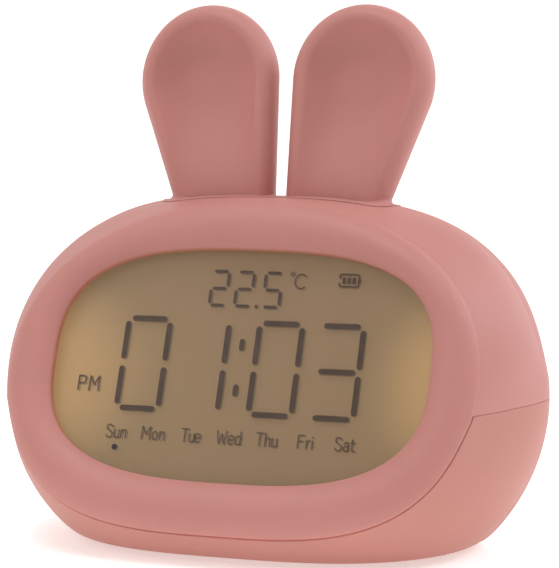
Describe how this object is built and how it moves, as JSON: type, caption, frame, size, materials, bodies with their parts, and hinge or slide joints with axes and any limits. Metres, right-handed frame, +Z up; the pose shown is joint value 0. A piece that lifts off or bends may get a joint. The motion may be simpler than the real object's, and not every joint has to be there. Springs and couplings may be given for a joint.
{
  "type": "alarm clock",
  "caption": "Rabbit-eared children's digital alarm clock with a rounded leaning display ring, press-down ears, a warm night light, back buttons, an alarm slide switch and rubber feet.",
  "frame": {"origin": "on the table, below the middle of the clock's bounding box", "axes": "+Z up; the display faces -Y and leans back; +X is to the right as seen from the front"},
  "size_m": [0.1484, 0.0752, 0.1421],
  "materials": {
    "pink_plastic": "fine matt moulding",
    "clear_window": "clear with a fine anti-glare surface",
    "panel_glass": "satin, lit amber from behind",
    "dark_marks": "dark brown-grey marks",
    "white_plastic": "plain moulded",
    "white_sheet": "diffusing film",
    "clear_plastic": "polished",
    "circuit_board": "solder-masked",
    "lamp": "lamp phosphor",
    "grey_rubber": "soft",
    "black_plastic": "plain moulded",
    "red_plastic": "insulation",
    "steel": "plated",
    "foil": "soft pouch foil"
  },
  "bodies": {
    "case": {"front_housing": "pink_plastic", "lower_housing": "pink_plastic", "display_lens": "clear_window", "lcd_glass": "panel_glass", "lcd_segments": "dark_marks", "lcd_frame": "white_plastic", "diffuser_sheet": "white_sheet", "light_guide": "clear_plastic", "reflector_sheet": "white_sheet", "led_strips": "circuit_board", "warm_leds": "lamp", "zebra_strip": "grey_rubber", "main_board": "circuit_board", "chip_blob": "black_plastic", "board_parts": "black_plastic", "ear_carrier": "white_plastic", "ear_springs": "steel", "ear_board": "circuit_board", "ear_switch": "black_plastic", "button_board": "circuit_board", "button_switches": "black_plastic", "slide_switch": "steel", "usb_socket": "steel", "power_board": "circuit_board", "battery_cell": "foil", "battery_pad": "grey_rubber", "speaker_frame": "black_plastic", "speaker_magnet": "steel", "speaker_cone": "black_plastic", "thermistor": "black_plastic", "battery_lead": "red_plastic", "speaker_lead": "black_plastic", "housing_screws": "steel", "frame_screws": "steel", "board_screws": "steel", "carrier_screws": "steel", "rubber_feet": "grey_rubber"},
    "ears": {"ear_key": "pink_plastic", "ear_guides": "white_plastic", "ear_backs": "pink_plastic", "ear_stop_screws": "steel", "ear_plunger": "white_plastic"},
    "set_press": {"set_button": "pink_plastic", "set_plunger": "white_plastic"},
    "alarm_press": {"alarm_button": "pink_plastic", "alarm_plunger": "white_plastic"},
    "up_press": {"up_button": "pink_plastic", "up_plunger": "white_plastic"},
    "down_press": {"down_button": "pink_plastic", "down_plunger": "white_plastic"},
    "slider": {"alarm_slider": "white_plastic"}
  },
  "joints": [
    {"name": "ear_press", "type": "slide", "parent": "case", "child": "ears", "axis": [0, 0, -1], "range_m": [0, 0.0008], "stiffness_N_per_m": 600, "springref_m": -0.003, "deforming": ["ear_springs"]},
    {"name": "set_button_press", "type": "slide", "parent": "case", "child": "set_press", "axis": [0, -1, 0], "range_m": [0, 0.0005], "stiffness_N_per_m": 800, "springref_m": -0.001},
    {"name": "alarm_button_press", "type": "slide", "parent": "case", "child": "alarm_press", "axis": [0, -1, 0], "range_m": [0, 0.0005], "stiffness_N_per_m": 800, "springref_m": -0.001},
    {"name": "up_button_press", "type": "slide", "parent": "case", "child": "up_press", "axis": [0, -1, 0], "range_m": [0, 0.0005], "stiffness_N_per_m": 800, "springref_m": -0.001},
    {"name": "down_button_press", "type": "slide", "parent": "case", "child": "down_press", "axis": [0, -1, 0], "range_m": [0, 0.0005], "stiffness_N_per_m": 800, "springref_m": -0.001},
    {"name": "alarm_switch_slide", "type": "slide", "parent": "case", "child": "slider", "axis": [1, 0, 0], "range_m": [0, 0.003]}
  ]
}
